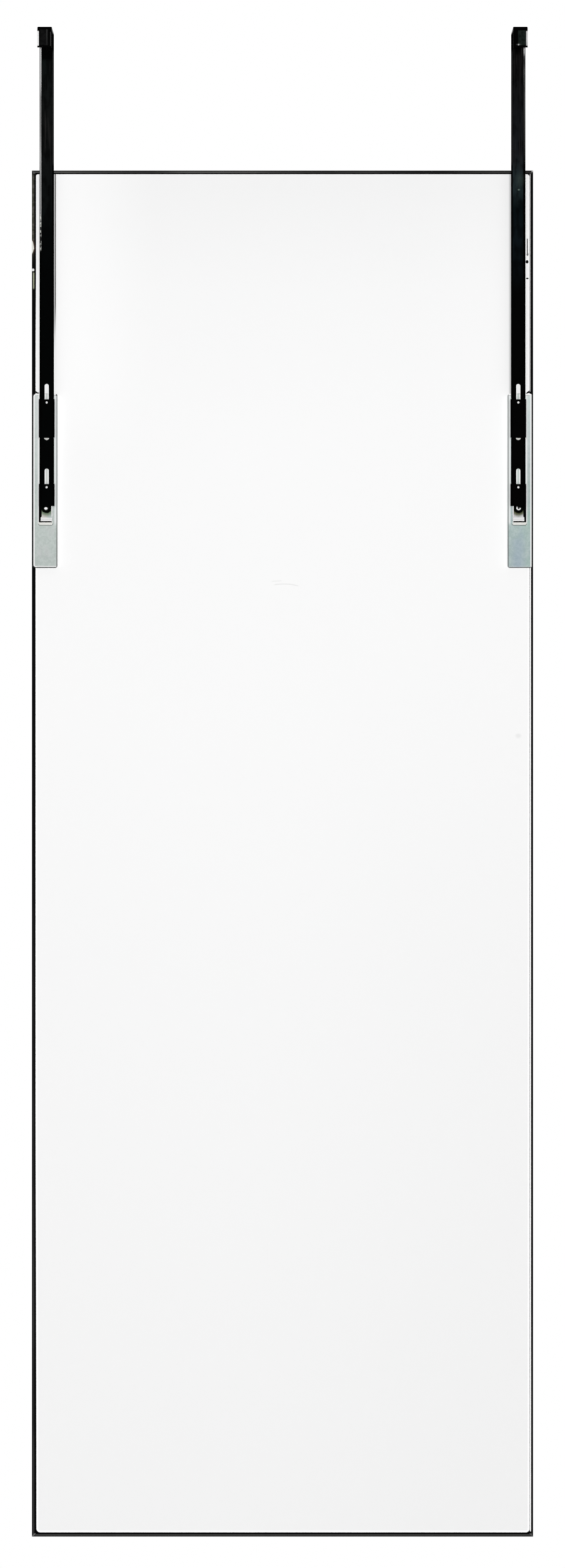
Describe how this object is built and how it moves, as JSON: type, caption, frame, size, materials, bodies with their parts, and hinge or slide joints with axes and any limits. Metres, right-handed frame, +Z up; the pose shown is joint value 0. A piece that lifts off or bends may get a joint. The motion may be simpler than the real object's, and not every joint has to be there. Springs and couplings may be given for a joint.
{
  "type": "over the door mirror",
  "caption": "Tall thin-framed mirror panel hung from two black steel straps that hook over a door and latch into zinc plates on its back.",
  "frame": {"origin": "the door's top front edge, midway between the two hooks, level with the underside of the hooks' bridges", "axes": "+X across the mirror, to the right as seen from behind it; +Y from the door to the reflecting face; +Z up"},
  "size_m": [0.468, 0.0683, 1.403],
  "materials": {
    "frame_black": "satin black coat on an aluminium profile",
    "key_metal": "mill finish",
    "bead_rubber": "clear grey sealant",
    "mirror_glass": "silvered float glass",
    "film_plastic": "woven safety film",
    "foam_plastic": "foam tape",
    "board_white": "smooth white faced board",
    "zinc_plate": "zinc plated, finely mottled",
    "screw_steel": "zinc plated",
    "zinc_leaf": "zinc plated spring steel",
    "stud_steel": "bright riveted head",
    "strap_black": "gloss black coat"
  },
  "bodies": {
    "panel": {"frame_top_rail": "frame_black", "frame_bottom_rail": "frame_black", "frame_left_rail": "frame_black", "frame_right_rail": "frame_black", "corner_keys": "key_metal", "sealing_bead": "bead_rubber", "mirror_glass": "mirror_glass", "safety_film": "film_plastic", "foam_tape": "foam_plastic", "back_board": "board_white", "left_plate": "zinc_plate", "right_plate": "zinc_plate", "left_plate_screws": "screw_steel", "right_plate_screws": "screw_steel"},
    "left_hook_strap": {"left_strap": "strap_black"},
    "left_upper_latch": {"left_upper_leaf": "zinc_leaf", "left_upper_stud": "stud_steel"},
    "left_lower_latch": {"left_lower_leaf": "zinc_leaf", "left_lower_stud": "stud_steel"},
    "right_hook_strap": {"right_strap": "strap_black"},
    "right_upper_latch": {"right_upper_leaf": "zinc_leaf", "right_upper_stud": "stud_steel"},
    "right_lower_latch": {"right_lower_leaf": "zinc_leaf", "right_lower_stud": "stud_steel"}
  },
  "joints": [
    {"name": "left_strap_slide", "type": "slide", "parent": "panel", "child": "left_hook_strap", "axis": [0, 0, 1], "range_m": [-0.005, 0]},
    {"name": "left_upper_latch_press", "type": "hinge", "parent": "panel", "child": "left_upper_latch", "pos_m": [-0.22015, 0.0049, -0.3492], "axis": [1, 0, 0], "range_deg": [0, 3], "stiffness_Nm_per_rad": 0.3, "springref_deg": -2.46},
    {"name": "left_lower_latch_press", "type": "hinge", "parent": "panel", "child": "left_lower_latch", "pos_m": [-0.22015, 0.0049, -0.4282], "axis": [1, 0, 0], "range_deg": [0, 5.8], "stiffness_Nm_per_rad": 0.3},
    {"name": "right_strap_slide", "type": "slide", "parent": "panel", "child": "right_hook_strap", "axis": [0, 0, 1], "range_m": [-0.005, 0]},
    {"name": "right_upper_latch_press", "type": "hinge", "parent": "panel", "child": "right_upper_latch", "pos_m": [0.22015, 0.0049, -0.3492], "axis": [1, 0, 0], "range_deg": [0, 3], "stiffness_Nm_per_rad": 0.3, "springref_deg": -2.46},
    {"name": "right_lower_latch_press", "type": "hinge", "parent": "panel", "child": "right_lower_latch", "pos_m": [0.22015, 0.0049, -0.4282], "axis": [1, 0, 0], "range_deg": [0, 5.8], "stiffness_Nm_per_rad": 0.3}
  ],
  "couplings": [
    {"joint": "left_lower_latch_press", "follows": "left_strap_slide", "rad_per_m": -20},
    {"joint": "right_lower_latch_press", "follows": "right_strap_slide", "rad_per_m": -20}
  ]
}
